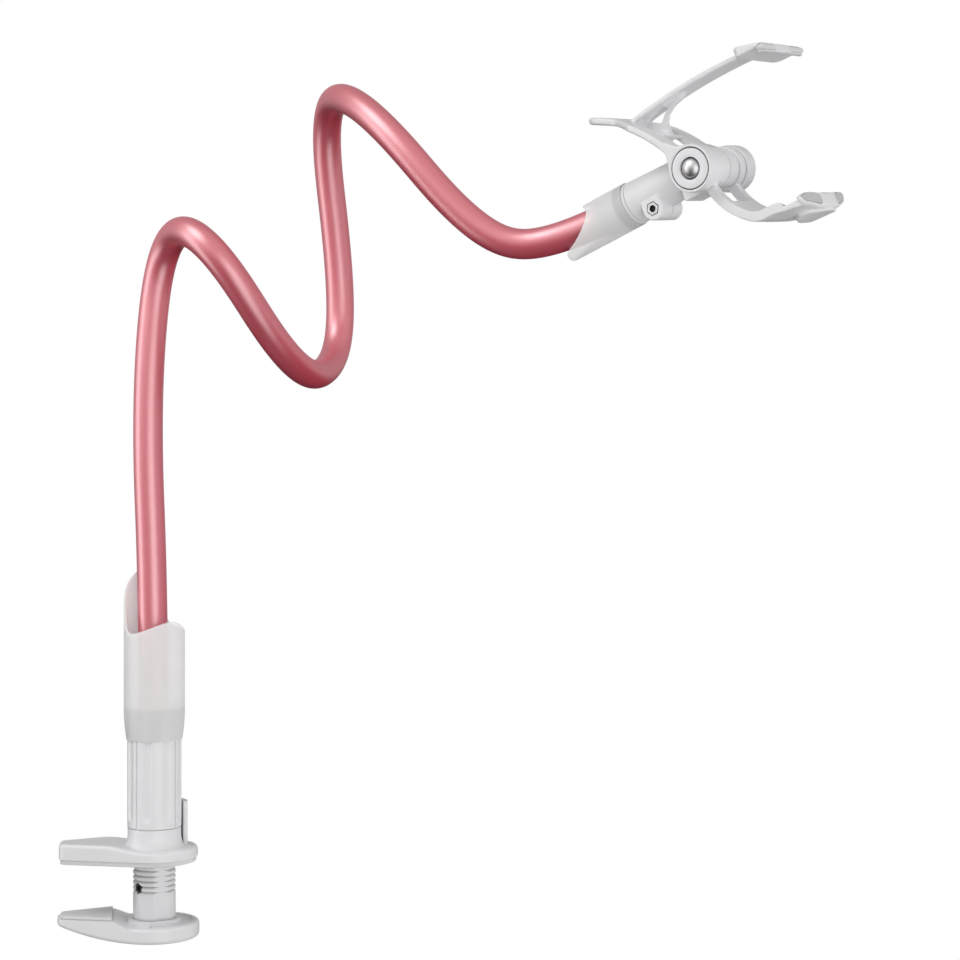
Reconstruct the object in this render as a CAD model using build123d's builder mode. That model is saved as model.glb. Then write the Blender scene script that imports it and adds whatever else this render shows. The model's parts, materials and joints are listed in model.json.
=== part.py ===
"""Clamp-on holder with a bendable arm and a sprung two-claw clip, as a jointed assembly.

Millimetres and degrees. The origin is on the clamp post's axis, at the gripping face of the upper
jaw's pad. +X is right, +Y is back and +Z is up.
"""

import os
from math import atan2, cos, degrees, hypot, radians, sin, tan

from build123d import *

# Fits between pieces
running_gap = 0.3
pin_fit = 0.06
seat_gap = 0.1

# Screw clamp: jaws
clamp_gap = 24.0
jaw_turn = 9.0
jaw_radius = 20.5
jaw_reach = 44.5
jaw_tip_width = 14.0
jaw_tip_corner = 4.0
upper_jaw_thickness = 4.6
upper_jaw_tip_rise = 2.8
upper_jaw_rise_start = 4.0
upper_jaw_rise_end = 24.0
upper_jaw_edge = 1.8
upper_pad_thickness = 2.4
pad_inset = 0.7
boss_radius = 12.6
boss_flare = 2.0
boss_height = 9.0
tab_thickness = 2.2
tab_height = 21.0
tab_gap = 0.7
tab_start = 8.0
tab_sweep = 34.0
lower_jaw_depth = 12.0
lower_jaw_rim = 7.5
lower_jaw_tip_depth = 3.0
lower_jaw_keel_start = 6.0
lower_pad_thickness = 1.5
lower_pad_start = 19.0
collar_radius = 12.5
rim_width = 2.6
recess_depth = 0.8
collar_rise = 1.4
lower_jaw_edge = 1.6
keel_edge = 2.0

# Screw clamp: post, handle and their fasteners
post_diameter = 20.0
post_flat_depth = 0.85
post_flat_angle = -60.0
post_top = 66.0
post_socket = 6.5
thread_pitch = 2.5
thread_depth = 0.85
thread_start = -15.0
screw_diameter = 4.0
screw_head_diameter = 8.0
screw_head_height = 2.4
screw_grip = 12.0
handle_diameter = 25.5
handle_length = 56.0
handle_thread_length = 16.0
flute_count = 8
flute_depth = 0.8
flute_cutter_radius = 7.0
flute_angle = 37.0
flute_rim = 4.0
groove_count = 4
groove_width = 1.2
groove_depth = 0.6
groove_angle = 58.0

# Where the arm's bends and the head are, from the clamp's origin
head_reach = 256.0
head_depth = -87.0
head_height = 316.0
first_loop_height = 300.0
first_loop_swing = -46.0
dip_reach = 69.5
dip_height = 227.0
rise_reach = 85.0
rise_swing = 66.0
second_loop_height = 372.0
descent_reach = 157.0
descent_height = 289.0

# Bendable arm and its two soft sleeves
arm_diameter = 14.0
arm_foot = -18.0
arm_straight = 43.0
arm_bolt_height = -12.0
arm_bolt_angle = -132.0
arm_bolt_diameter = 2.5
arm_nut_width = 4.6
arm_nut_height = 1.6
lower_sleeve_diameter = 28.8
lower_sleeve_hem = 26.9
lower_sleeve_foot = 54.5
lower_sleeve_turn = -50.0
lower_sleeve_lip = 113.0
lower_sleeve_notch = 107.6
lower_sleeve_tongue = 136.8
upper_sleeve_diameter = 20.5
upper_sleeve_wall = 1.5
upper_sleeve_tongue = 32.0
upper_sleeve_notch = 10.5
upper_sleeve_lip = 17.0

# Head: the clip faces right and towards the viewer, leaning back
head_yaw = 52.0
head_lean = 20.1
head_roll = 7.0
clip_lean = -2.1
collar_back = 50.0
collar_front = 41.0
collar_diameter = 19.4
collar_edge = 0.6
barrel_rise = 2.8
collar_tail = 8.0
arm_end = 44.0
spigot_diameter = 9.0
flange_diameter = 13.0
flange_start = 38.0
flange_thickness = 4.0
shell_seam = 0.5
shell_barrel_end = 12.0
barrel_reach = 21.0
neck_width = 15.4
neck_top = 8.0
eye_radius = 8.8
lug_radius = 5.2
lug_width = 18.0
lug_edge = 0.8
shell_bolt_back = 29.7
shell_bolt_drop = 5.2
shell_bolt_diameter = 3.0
shell_nut_width = 5.6
shell_nut_height = 2.6

# Hinge and its spring
pin_diameter = 6.0
dome_diameter = 8.8
dome_height = 1.6
ear_width = 4.7
ear_radius = 9.6
boss_width = 7.5
hinge_boss_radius = 10.3
hinge_cap_diameter = 18.0
hinge_cap_thickness = 2.0
spring_pocket_floor = 1.2
spring_pocket_diameter = 15.8
spring_wire = 1.1
spring_coil_radius = 5.6
spring_pitch = 1.4
spring_leg = 3.2
jaw_closing = 50.0
jaw_opening = 12.0
slot_margin = 4.0
ear_slot_radius = 20.0

# Clip levers
grip_height = 67.8
claw_width = 40.0
claw_corner = 4.2
claw_height_corner = 3.4
claw_depth = 14.0
claw_thickness = 3.2
claw_rise = 0.9
claw_step = 1.1
lip_face = 46.8
lip_shift = 2.7
lip_thickness = 2.5
upper_lip = 2.3
lower_lip = 4.6
lip_edge = 1.8
plate_thickness = 3.2
plate_edge = 1.1
plate_rim = 10.0
plate_root = (-7.8, 11.3)
plate_bend = (-21.0, 27.2)
tongue_end = (-43.4, 41.0)
shoulder_start = 22.0
shoulder_end = 31.0
plate_hole_edge = 10.0
plate_hole_length = 10.0
plate_hole_middle = -19.5
plate_hole_corner = 3.0
rib_width = 3.6
rib_crest = ((-25.5, 32.6), (-18.0, 35.0), (-10.0, 36.2), (2.0, 36.9))
rib_strut = ((-2.9, 33.9), (-7.7, 32.7), (-11.3, 30.6), (-13.3, 27.6), (-13.2, 20.6))
rib_base = ((-16.5, 22.4), (-20.8, 27.0), (-25.5, 31.0))
rib_opening = ((-22.4, 31.4), (-16.5, 33.8), (-12.5, 34.3), (-9.8, 33.2), (-13.0, 30.5), (-15.4, 28.0))
boss_web = ((-10.2, 0.0), (-8.9, 10.2), (-10.8, 13.8), (-8.2, 15.6), (-3.0, 11.4), (3.0, 9.8), (0.0, 0.0))
arch_width = 14.0
arch_thickness = 2.0
arch_root = (-26.0, 33.4)
arch_crown = (-5.0, 36.4)
arch_overlap = 10.0
tongue_width = 25.0
tongue_corner = 7.0
lower_arm_thickness = 4.2
lower_arm_root = (1.5, -8.0)
lower_arm_belly = (9.1, -22.8)
claw_pad_margin = 0.8
claw_pad_width = 12.4
claw_pad_stand = 0.6
upper_claw_pad_height = 2.4
upper_claw_pad_drop = 0.8
lower_claw_pad_height = 5.4
lower_claw_pad_drop = 0.9

# Worked out from the sizes above
post_radius = post_diameter / 2
arm_radius = arm_diameter / 2
handle_radius = handle_diameter / 2
jaw_top = upper_pad_thickness + upper_jaw_thickness
boss_top = jaw_top + boss_height
handle_foot = boss_top + seat_gap
handle_top = handle_foot + handle_length
lower_top = -clamp_gap - lower_pad_thickness
lower_bottom = -clamp_gap - lower_jaw_depth
rim_top = lower_bottom + lower_jaw_rim
post_foot = lower_top - post_socket
ear_inner = neck_width / 2 + running_gap
boss_inner = ear_inner + ear_width + running_gap
hub_half = boss_inner + boss_width
grip = grip_height / 2
claw_outside = grip + claw_thickness
upper_face = lip_face + lip_shift
lower_face = lip_face - lip_shift
barrel_radius = collar_diameter / 2
plate_clearance = hypot(barrel_reach, barrel_rise + barrel_radius) + running_gap
plate_back = plate_thickness - tongue_end[0]
claw_window_depth = lip_thickness + claw_pad_stand + seat_gap
claw_pad_offset = claw_width / 2 - claw_pad_margin - claw_pad_width / 2
upper_pad_centre = grip - upper_lip + upper_claw_pad_height / 2 + upper_claw_pad_drop
lower_pad_centre = -grip + lower_lip - lower_claw_pad_height / 2 - lower_claw_pad_drop

# Planes: the jaws point left and a little forward, the head's X is forward, Y up and Z to the near side
jaw_direction = Vector(-cos(radians(jaw_turn)), -sin(radians(jaw_turn)), 0)
jaw_plan = Plane(origin=(0, 0, 0), x_dir=jaw_direction, z_dir=(0, 0, 1))
jaw_side = Plane(origin=(0, 0, 0), x_dir=jaw_direction, z_dir=jaw_direction.cross(Vector(0, 0, 1)))
flat_direction = Vector(cos(radians(post_flat_angle)), sin(radians(post_flat_angle)), 0)
post_plan = Plane(origin=(0, 0, 0), x_dir=flat_direction, z_dir=(0, 0, 1))
sleeve_direction = Vector(cos(radians(lower_sleeve_turn)), sin(radians(lower_sleeve_turn)), 0)
sleeve_side = Plane(origin=(0, 0, 0), x_dir=sleeve_direction, z_dir=sleeve_direction.cross(Vector(0, 0, 1)))
bolt_direction = Vector(cos(radians(arm_bolt_angle)), sin(radians(arm_bolt_angle)), 0)
arm_bolt_plane = Plane(origin=(0, 0, arm_bolt_height), x_dir=(0, 0, 1), z_dir=bolt_direction)

hub = Vector(head_reach, head_depth, head_height)
level = cos(radians(head_lean))
forward = Vector(sin(radians(head_yaw)) * level, -cos(radians(head_yaw)) * level, sin(radians(head_lean)))
sideways = Vector(-cos(radians(head_yaw)), -sin(radians(head_yaw)), 0)
near = sideways.rotate(Axis((0, 0, 0), forward), head_roll)
upward = near.cross(forward)
head = Plane(origin=hub, x_dir=forward, z_dir=near)
clip = Plane(origin=hub, x_dir=forward.rotate(Axis((0, 0, 0), near), clip_lean), z_dir=near)
clip_plan = Plane(origin=hub, x_dir=clip.x_dir, z_dir=clip.y_dir)
clip_front = Plane(origin=hub, x_dir=near * -1, z_dir=clip.x_dir)
barrel_centre = hub + upward * barrel_rise
barrel = Plane(origin=barrel_centre, x_dir=forward, z_dir=near)
barrel_front = Plane(origin=barrel_centre, x_dir=near * -1, z_dir=forward)
barrel_axis = Axis(barrel_centre, forward)

# The arm's corners, from the post to the head: two tall loops that swing back and forth in depth
arm_corners = [
    Vector(0, 0, arm_foot),
    Vector(0, 0, 116),
    Vector(-4.5, 0, first_loop_height - 80),
    Vector(2, 8, first_loop_height),
    Vector(30, first_loop_swing, first_loop_height - 5),
    Vector(dip_reach, -6, dip_height),
    Vector(rise_reach - 2, rise_swing - 6, dip_height + 11.5),
    Vector(rise_reach, rise_swing, dip_height + 52.5),
    Vector(rise_reach - 10.5, rise_swing - 14, second_loop_height),
    Vector(rise_reach + 14, -14, second_loop_height - 11),
    Vector(descent_reach, -30, descent_height),
    barrel_centre - forward * (arm_end + arm_straight),
    barrel_centre - forward * arm_end,
]
arc_share = 0.47


def arm_radii():
    """Largest tangent arc at each corner of the arm that leaves a short straight run on both sides."""
    radii = []
    for before, corner, after in zip(arm_corners, arm_corners[1:], arm_corners[2:]):
        into = corner - before
        out = after - corner
        shorter_run = min(into.length, out.length)
        radii.append(arc_share * shorter_run / tan(radians(into.get_angle(out)) / 2))
    return radii


def jaw_outline(grow):
    """Sketch a jaw seen from above: round at the post, tapering to a blunt tip."""
    Circle(jaw_radius + grow)
    tip_centre = jaw_reach - jaw_tip_corner
    for side in (1, -1):
        with Locations((tip_centre, side * (jaw_tip_width / 2 - jaw_tip_corner))):
            Circle(jaw_tip_corner + grow)
    make_hull()


def keyed_section(grow):
    """Sketch the post's section, a circle with two flats, larger all round by grow."""
    Circle(post_radius + grow)
    Rectangle(2 * (post_radius - post_flat_depth + grow), post_diameter + 4 * grow, mode=Mode.INTERSECT)


def arc_band(start, middle, end, thickness):
    """Sketch a round-ended band of even thickness along the arc through three points."""
    with BuildLine(mode=Mode.PRIVATE) as spine:
        ThreePointArc(start, middle, end)
    SlotArc(spine.edges()[0], height=thickness)


def on_circle(radius, angle):
    """Point on a circle about the sketch's origin."""
    return (radius * cos(radians(angle)), radius * sin(radians(angle)))


os.makedirs("parts", exist_ok=True)

# Upper jaw: a tapered plate with a raised tip, a flared boss under the handle and an upright tab behind it
with BuildPart() as upper_jaw:
    with BuildSketch(jaw_plan.offset(upper_pad_thickness)):
        jaw_outline(0)
    extrude(amount=upper_jaw_thickness + upper_jaw_tip_rise)
    with BuildSketch(jaw_side):
        with BuildLine():
            rise_start = (upper_jaw_rise_start, jaw_top)
            rise_end = (upper_jaw_rise_end, jaw_top + upper_jaw_tip_rise)
            tip_side = 2 * jaw_reach
            back_side = -2 * jaw_radius
            Line((back_side, jaw_top), rise_start)
            Spline(rise_start, rise_end, tangents=((1, 0), (1, 0)))
            Polyline(rise_end, (tip_side, rise_end[1]), (tip_side, 0), (back_side, 0), (back_side, jaw_top))
        make_face()
    extrude(amount=2 * jaw_radius, both=True, mode=Mode.INTERSECT)
    fillet(upper_jaw.faces().sort_by(Axis.Z)[-1].edges(), radius=upper_jaw_edge)
    with BuildSketch(Plane.XZ):
        with BuildLine():
            flare_foot = (boss_radius + boss_flare, jaw_top - 0.5)
            flare_top = (boss_radius, boss_top - boss_height / 3)
            Polyline((0, boss_top), (boss_radius, boss_top), flare_top)
            TangentArc(flare_top, flare_foot, tangent=(0, -1))
            Polyline(flare_foot, (0, jaw_top - 0.5), (0, boss_top))
        make_face()
    revolve(axis=Axis.Z)
    with BuildSketch(Plane.XY.offset(jaw_top)):
        tab_radius = handle_radius + tab_gap + tab_thickness / 2
        tab_angles = (tab_start, tab_start + tab_sweep / 2, tab_start + tab_sweep)
        arc_band(*(on_circle(tab_radius, angle) for angle in tab_angles), tab_thickness)
    extrude(amount=tab_height)
    with BuildSketch(post_plan):
        keyed_section(running_gap)
    extrude(amount=boss_top, mode=Mode.SUBTRACT)

with BuildPart() as upper_jaw_pad:
    with BuildSketch(jaw_plan):
        jaw_outline(-pad_inset)
        Circle(post_radius + 2 * pad_inset, mode=Mode.SUBTRACT)
    extrude(amount=upper_pad_thickness)

# Lower jaw: a boat-shaped plate whose gripping face rises to the tip, with a keyed socket for the post
with BuildPart() as lower_jaw:
    with BuildSketch(jaw_plan.offset(lower_bottom)):
        jaw_outline(pad_inset)
    extrude(amount=lower_top - lower_bottom)
    with BuildSketch(jaw_side):
        with BuildLine():
            step_end = (lower_pad_start, lower_top)
            far_end = (2 * jaw_reach, lower_top)
            keel_end = (jaw_reach + pad_inset, lower_top - lower_jaw_tip_depth)
            keel_start = (lower_jaw_keel_start, lower_bottom)
            Polyline((-2 * jaw_radius, rim_top), (collar_radius, rim_top), step_end, far_end)
            Polyline(far_end, (2 * jaw_reach, keel_end[1]), keel_end)
            TangentArc(keel_start, keel_end, tangent=(1, 0))
            Polyline(keel_start, (-2 * jaw_radius, lower_bottom), (-2 * jaw_radius, rim_top))
        make_face()
    extrude(amount=2 * jaw_radius, both=True, mode=Mode.INTERSECT)
    low_edges = lower_jaw.edges().filter_by(lambda edge: edge.center().Z < rim_top - keel_edge)
    side_edges = low_edges.filter_by(lambda edge: abs((edge @ 0.5).Y) > 1)
    fillet(side_edges.filter_by(lambda edge: abs(edge.tangent_at(0.5).Z) < 0.9), radius=keel_edge)
    round_rims = lower_jaw.edges().filter_by(GeomType.CIRCLE)
    rim_edges = round_rims.filter_by(lambda edge: abs(edge.center().Z - rim_top) < seat_gap)
    fillet(rim_edges, radius=lower_jaw_edge)
    with BuildSketch(Plane.XY.offset(rim_top)):
        Circle(jaw_radius + pad_inset - rim_width)
        Circle(collar_radius, mode=Mode.SUBTRACT)
        with Locations((-jaw_radius, 0)):
            Rectangle(2 * jaw_radius, 3 * jaw_radius, mode=Mode.SUBTRACT)
    extrude(amount=-recess_depth, mode=Mode.SUBTRACT)
    with BuildSketch(Plane.XY.offset(rim_top - recess_depth)):
        Circle(collar_radius)
    extrude(amount=recess_depth + collar_rise)
    with BuildSketch(post_plan.offset(post_foot)):
        keyed_section(seat_gap)
    extrude(amount=post_socket + clamp_gap, mode=Mode.SUBTRACT)
    with Locations(Plane(origin=(0, 0, lower_bottom), z_dir=(0, 0, -1))):
        CounterBoreHole(
            screw_diameter / 2 + seat_gap,
            screw_head_diameter / 2 + running_gap,
            screw_head_height,
            depth=lower_jaw_depth,
        )

with BuildPart() as lower_jaw_pad:
    with BuildSketch(jaw_plan.offset(lower_top)):
        jaw_outline(-pad_inset)
        with Locations((lower_pad_start + pad_inset - jaw_reach, 0)):
            Rectangle(2 * jaw_reach, 3 * jaw_radius, mode=Mode.SUBTRACT)
    extrude(amount=lower_pad_thickness)

# Threaded post: ring grooves at the thread's pitch, two keying flats, and a pocket for the arm's foot
with BuildPart() as clamp_post:
    with BuildSketch(Plane.XZ):
        with BuildLine():
            outline = [(0, post_foot), (post_radius, post_foot)]
            groove_half = 0.3 * thread_pitch
            for turn in range(int((post_top - thread_start) / thread_pitch)):
                middle = thread_start + (turn + 0.5) * thread_pitch
                outline.append((post_radius, middle - groove_half))
                outline.append((post_radius - thread_depth, middle))
                outline.append((post_radius, middle + groove_half))
            Polyline(*outline, (post_radius, post_top), (0, post_top), close=True)
        make_face()
    revolve(axis=Axis.Z)
    with BuildSketch(post_plan.offset(post_foot)):
        keyed_section(0)
    extrude(amount=post_top - post_foot, mode=Mode.INTERSECT)
    with BuildSketch(Plane.XY.offset(arm_foot)):
        Circle(arm_radius + seat_gap)
    extrude(amount=post_top - arm_foot, mode=Mode.SUBTRACT)
    with BuildSketch(Plane.XY.offset(post_foot)):
        Circle(screw_diameter / 2 + seat_gap)
    extrude(amount=screw_grip, mode=Mode.SUBTRACT)
    with BuildSketch(arm_bolt_plane):
        Circle(arm_bolt_diameter / 2 + seat_gap)
    extrude(amount=post_diameter, both=True, mode=Mode.SUBTRACT)
    with BuildSketch(arm_bolt_plane.offset(post_radius - arm_nut_height - thread_depth)):
        RegularPolygon(arm_nut_width / 2 + seat_gap, 6, major_radius=False)
    extrude(amount=arm_nut_height + 2 * thread_depth, mode=Mode.SUBTRACT)
    with BuildSketch(arm_bolt_plane.offset(-post_radius + arm_nut_height + thread_depth)):
        Circle(arm_nut_width / 2 + seat_gap)
    extrude(amount=-arm_nut_height - 2 * thread_depth, mode=Mode.SUBTRACT)

with BuildPart() as post_screw:
    with BuildSketch(Plane.XY.offset(lower_bottom)):
        Circle(screw_head_diameter / 2)
    extrude(amount=screw_head_height)
    with BuildSketch(Plane.XY.offset(lower_bottom + screw_head_height)):
        Circle(screw_diameter / 2)
    extrude(amount=post_foot + screw_grip - seat_gap - lower_bottom - screw_head_height)
    with BuildSketch(Plane.XY.offset(lower_bottom)):
        Rectangle(screw_head_diameter * 0.6, 1.2)
        Rectangle(1.2, screw_head_diameter * 0.6)
    extrude(amount=screw_head_height / 2, mode=Mode.SUBTRACT)

nut_seat = post_radius - arm_nut_height - thread_depth
with BuildPart() as arm_bolt:
    with BuildSketch(arm_bolt_plane.offset(-nut_seat)):
        Circle(arm_nut_width / 2)
    extrude(amount=-arm_nut_height)
    with BuildSketch(arm_bolt_plane.offset(-nut_seat)):
        Circle(arm_bolt_diameter / 2)
    extrude(amount=2 * nut_seat + arm_nut_height / 2)

with BuildPart() as arm_nut:
    with BuildSketch(arm_bolt_plane.offset(nut_seat)):
        RegularPolygon(arm_nut_width / 2, 6, major_radius=False)
        Circle(arm_bolt_diameter / 2 + pin_fit, mode=Mode.SUBTRACT)
    extrude(amount=arm_nut_height)

# Handle: the nut of the clamp, fluted for grip, with four narrow full-length grooves
with BuildPart() as clamp_handle:
    with BuildSketch(Plane.XY.offset(handle_foot)):
        Circle(handle_radius)
    extrude(amount=handle_length)
    chamfer(clamp_handle.edges().sort_by(Axis.Z)[0], length=0.5)
    flute_centre = handle_radius - flute_depth + flute_cutter_radius
    with PolarLocations(flute_centre, flute_count, start_angle=flute_angle - 90):
        with Locations((0, 0, handle_foot + flute_rim + flute_cutter_radius / 3)):
            Sphere(flute_cutter_radius, mode=Mode.SUBTRACT)
            Cylinder(
                flute_cutter_radius,
                handle_length,
                align=(Align.CENTER, Align.CENTER, Align.MIN),
                mode=Mode.SUBTRACT,
            )
    with PolarLocations(handle_radius, groove_count, start_angle=groove_angle - 90):
        with Locations((0, 0, handle_foot)):
            Box(
                2 * groove_depth,
                groove_width,
                handle_length,
                align=(Align.CENTER, Align.CENTER, Align.MIN),
                mode=Mode.SUBTRACT,
            )
    with BuildSketch(Plane.XY.offset(handle_foot)):
        Circle(post_radius + running_gap)
    extrude(amount=handle_length, mode=Mode.SUBTRACT)
    with BuildSketch(Plane.XY.offset(handle_foot + handle_thread_length)):
        Circle(post_radius + 2 * running_gap)
    extrude(amount=handle_length, mode=Mode.SUBTRACT)

# Lower sleeve: a soft tube pushed over the handle, its mouth cut to a tall tongue behind the arm
with BuildPart() as lower_sleeve:
    bore = handle_radius + seat_gap
    shoulder = handle_top
    with BuildSketch(Plane.XZ):
        with BuildLine():
            Polyline(
                (bore, lower_sleeve_foot),
                (lower_sleeve_hem / 2, lower_sleeve_foot),
                (lower_sleeve_diameter / 2, shoulder),
                (lower_sleeve_diameter / 2, lower_sleeve_tongue),
                (bore, lower_sleeve_tongue),
                close=True,
            )
        make_face()
    revolve(axis=Axis.Z)
    with BuildSketch(sleeve_side):
        with BuildLine():
            sleeve_edge = lower_sleeve_diameter / 2
            tongue_rise = lower_sleeve_tongue - lower_sleeve_notch
            tongue_top = (-1.1 * sleeve_edge, lower_sleeve_tongue)
            flank_top = (-0.65 * sleeve_edge, lower_sleeve_notch + 0.57 * tongue_rise)
            flank_foot = (-0.14 * sleeve_edge, lower_sleeve_notch + 0.06 * tongue_rise)
            notch = (0.24 * sleeve_edge, lower_sleeve_notch)
            rim_end = (1.2 * sleeve_edge, lower_sleeve_lip)
            clear_top = lower_sleeve_tongue + sleeve_edge
            Spline(tongue_top, flank_top, flank_foot, notch, rim_end)
            Polyline(rim_end, (rim_end[0], clear_top), (tongue_top[0], clear_top), tongue_top)
        make_face()
    extrude(amount=lower_sleeve_diameter, both=True, mode=Mode.SUBTRACT)

# Bendable arm: one smooth rod swept along straight runs and tangent arcs
with BuildPart() as gooseneck_arm:
    with BuildLine() as arm_path:
        FilletPolyline(*arm_corners, radius=arm_radii())
    with BuildSketch(Plane(origin=arm_path.line @ 0, z_dir=arm_path.line % 0)):
        Circle(arm_radius)
    sweep(path=arm_path.line)
    with BuildSketch(arm_bolt_plane):
        Circle(arm_bolt_diameter / 2 + seat_gap)
    extrude(amount=post_diameter, both=True, mode=Mode.SUBTRACT)

# Upper sleeve: a soft tube on the head end, long below, short above and notched on both sides
with BuildPart() as upper_sleeve:
    with BuildSketch(barrel_front.offset(-collar_back)):
        Circle(upper_sleeve_diameter / 2)
        Circle(upper_sleeve_diameter / 2 - upper_sleeve_wall, mode=Mode.SUBTRACT)
    extrude(amount=-upper_sleeve_tongue)
    with BuildSketch(barrel):
        with BuildLine():
            edge = upper_sleeve_diameter / 2
            tongue_tip = (-collar_back - upper_sleeve_tongue, -0.82 * edge)
            lip_tip = (-collar_back - upper_sleeve_lip, edge)
            notch_low = (-collar_back - upper_sleeve_notch - 5, -0.55 * edge)
            notch_deep = (-collar_back - upper_sleeve_notch, -0.15 * edge)
            notch_high = (-collar_back - upper_sleeve_notch - 2, 0.4 * edge)
            mouth_edge = -collar_back - upper_sleeve_tongue - 5
            Line(tongue_tip, notch_low)
            ThreePointArc(notch_low, notch_deep, notch_high)
            Polyline(notch_high, lip_tip, (mouth_edge, edge), (mouth_edge, tongue_tip[1]), tongue_tip)
        make_face()
    extrude(amount=upper_sleeve_diameter, both=True, mode=Mode.SUBTRACT)

# End collar: socket for the arm's end, a visible ring, and a flanged spigot that the connector turns on
with BuildPart() as end_collar:
    with BuildSketch(barrel):
        with BuildLine():
            socket_radius = arm_radius + seat_gap
            tail_radius = upper_sleeve_diameter / 2 - upper_sleeve_wall - seat_gap
            tail_end = -collar_back - collar_tail
            socket_end = -arm_end + seat_gap
            Polyline(
                (tail_end, socket_radius),
                (tail_end, tail_radius),
                (-collar_back, tail_radius),
                (-collar_back, barrel_radius),
                (-collar_front, barrel_radius),
                (-collar_front, spigot_diameter / 2),
                (-flange_start, spigot_diameter / 2),
                (-flange_start, flange_diameter / 2),
                (-flange_start + flange_thickness, flange_diameter / 2),
                (-flange_start + flange_thickness, 0),
                (socket_end, 0),
                (socket_end, socket_radius),
                close=True,
            )
        make_face()
    revolve(axis=barrel_axis)
    round_edges = end_collar.edges().filter_by(GeomType.CIRCLE)
    ring_edges = round_edges.filter_by(lambda edge: abs(edge.radius - barrel_radius) < pin_fit)
    fillet(ring_edges, radius=collar_edge)


def connector_shell(side):
    """One half of the clamped connector: barrel, neck with its hinge eye, and a bolted lug below."""
    with BuildPart() as shell:
        with BuildSketch(head):
            with Locations((-shell_bolt_back, -shell_bolt_drop)):
                Circle(lug_radius)
            with Locations((-shell_bolt_back, -shell_bolt_drop / 2)):
                Rectangle(2 * lug_radius, shell_bolt_drop)
        extrude(amount=lug_width / 2, both=True)
        ends = shell.faces().sort_by(Axis(hub, near))
        fillet(ends[0].edges() + ends[-1].edges(), radius=lug_edge)
        barrel_start = collar_front - running_gap
        with BuildSketch(barrel_front.offset(-barrel_start)):
            Circle(barrel_radius)
        extrude(amount=barrel_start - shell_barrel_end, taper=2)
        with BuildSketch(head):
            Circle(eye_radius)
            neck_height = neck_top + eye_radius
            with Locations((-shell_barrel_end / 2 - 1, neck_top - neck_height / 2)):
                Rectangle(shell_barrel_end + 2, neck_height)
        extrude(amount=neck_width / 2, both=True)
        with BuildSketch(barrel):
            with BuildLine():
                spigot_bore = spigot_diameter / 2 + running_gap
                flange_bore = flange_diameter / 2 + running_gap
                flange_end = -flange_start + flange_thickness + running_gap
                Polyline(
                    (-collar_front, 0),
                    (-collar_front, spigot_bore),
                    (-flange_start - running_gap, spigot_bore),
                    (-flange_start - running_gap, flange_bore),
                    (flange_end, flange_bore),
                    (flange_end, 0),
                    close=True,
                )
            make_face()
        revolve(axis=barrel_axis, mode=Mode.SUBTRACT)
        with BuildSketch(head):
            Circle(pin_diameter / 2 + pin_fit)
            with Locations((-shell_bolt_back, -shell_bolt_drop)):
                Circle(shell_bolt_diameter / 2 + seat_gap)
        extrude(amount=lug_width, both=True, mode=Mode.SUBTRACT)
        with BuildSketch(head.offset(side * (lug_width / 2 - shell_nut_height))):
            with Locations((-shell_bolt_back, -shell_bolt_drop)):
                if side > 0:
                    RegularPolygon(shell_nut_width / 2 + seat_gap, 6, major_radius=False)
                else:
                    Circle(shell_nut_width / 2 + seat_gap)
        extrude(amount=side * lug_width, mode=Mode.SUBTRACT)
        keep = Keep.TOP if side > 0 else Keep.BOTTOM
        split(bisect_by=head.offset(side * shell_seam / 2), keep=keep)
    return shell


connector_shell_near = connector_shell(1)
connector_shell_far = connector_shell(-1)

bolt_place = (-shell_bolt_back, -shell_bolt_drop)
bolt_seat = lug_width / 2 - shell_nut_height
with BuildPart() as connector_bolt:
    with BuildSketch(head.offset(-bolt_seat)):
        with Locations(bolt_place):
            Circle(shell_nut_width / 2)
    extrude(amount=-shell_nut_height)
    with BuildSketch(head.offset(-bolt_seat)):
        with Locations(bolt_place):
            Circle(shell_bolt_diameter / 2)
    extrude(amount=2 * bolt_seat + shell_nut_height / 2)

with BuildPart() as connector_nut:
    with BuildSketch(head.offset(bolt_seat)):
        with Locations(bolt_place):
            RegularPolygon(shell_nut_width / 2, 6, major_radius=False)
            Circle(shell_bolt_diameter / 2 + pin_fit, mode=Mode.SUBTRACT)
    extrude(amount=shell_nut_height)

# Hinge pin: plain shaft with a domed end that shows in each cap
with BuildPart() as hinge_pin:
    with BuildSketch(head.offset(-hub_half)):
        Circle(pin_diameter / 2)
    extrude(amount=2 * hub_half)
    dome_seat = hub_half - hinge_cap_thickness
    for side in (1, -1):
        with BuildSketch(head.offset(side * dome_seat)):
            Circle(dome_diameter / 2)
        extrude(amount=side * hinge_cap_thickness)
    with BuildSketch(Plane(origin=hub, x_dir=upward, z_dir=near.cross(upward))):
        with BuildLine():
            Polyline((0, hub_half + dome_height), (0, hub_half), (dome_diameter / 2, hub_half))
            ThreePointArc(
                (dome_diameter / 2, hub_half),
                (0.72 * dome_diameter / 2, hub_half + 0.52 * dome_height),
                (0, hub_half + dome_height),
            )
        make_face()
    revolve(axis=Axis(hub, near))


def hinge_cap(side):
    """Ring-shaped cover let into the outer end of a lever boss, round the pin's domed end."""
    with BuildPart() as cap:
        with BuildSketch(clip.offset(side * (hub_half - hinge_cap_thickness))):
            Circle(hinge_cap_diameter / 2)
            Circle(dome_diameter / 2 + running_gap, mode=Mode.SUBTRACT)
        extrude(amount=side * hinge_cap_thickness)
    return cap


hinge_cap_near = hinge_cap(1)
hinge_cap_far = hinge_cap(-1)


def pad_window(side, height, tall, grow):
    """Sketch one of a claw's grip windows, seen from the front and larger all round by grow."""
    with Locations((-side * claw_pad_offset, height)):
        RectangleRounded(claw_pad_width + 2 * grow, tall + 2 * grow, 0.45 * tall)


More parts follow.
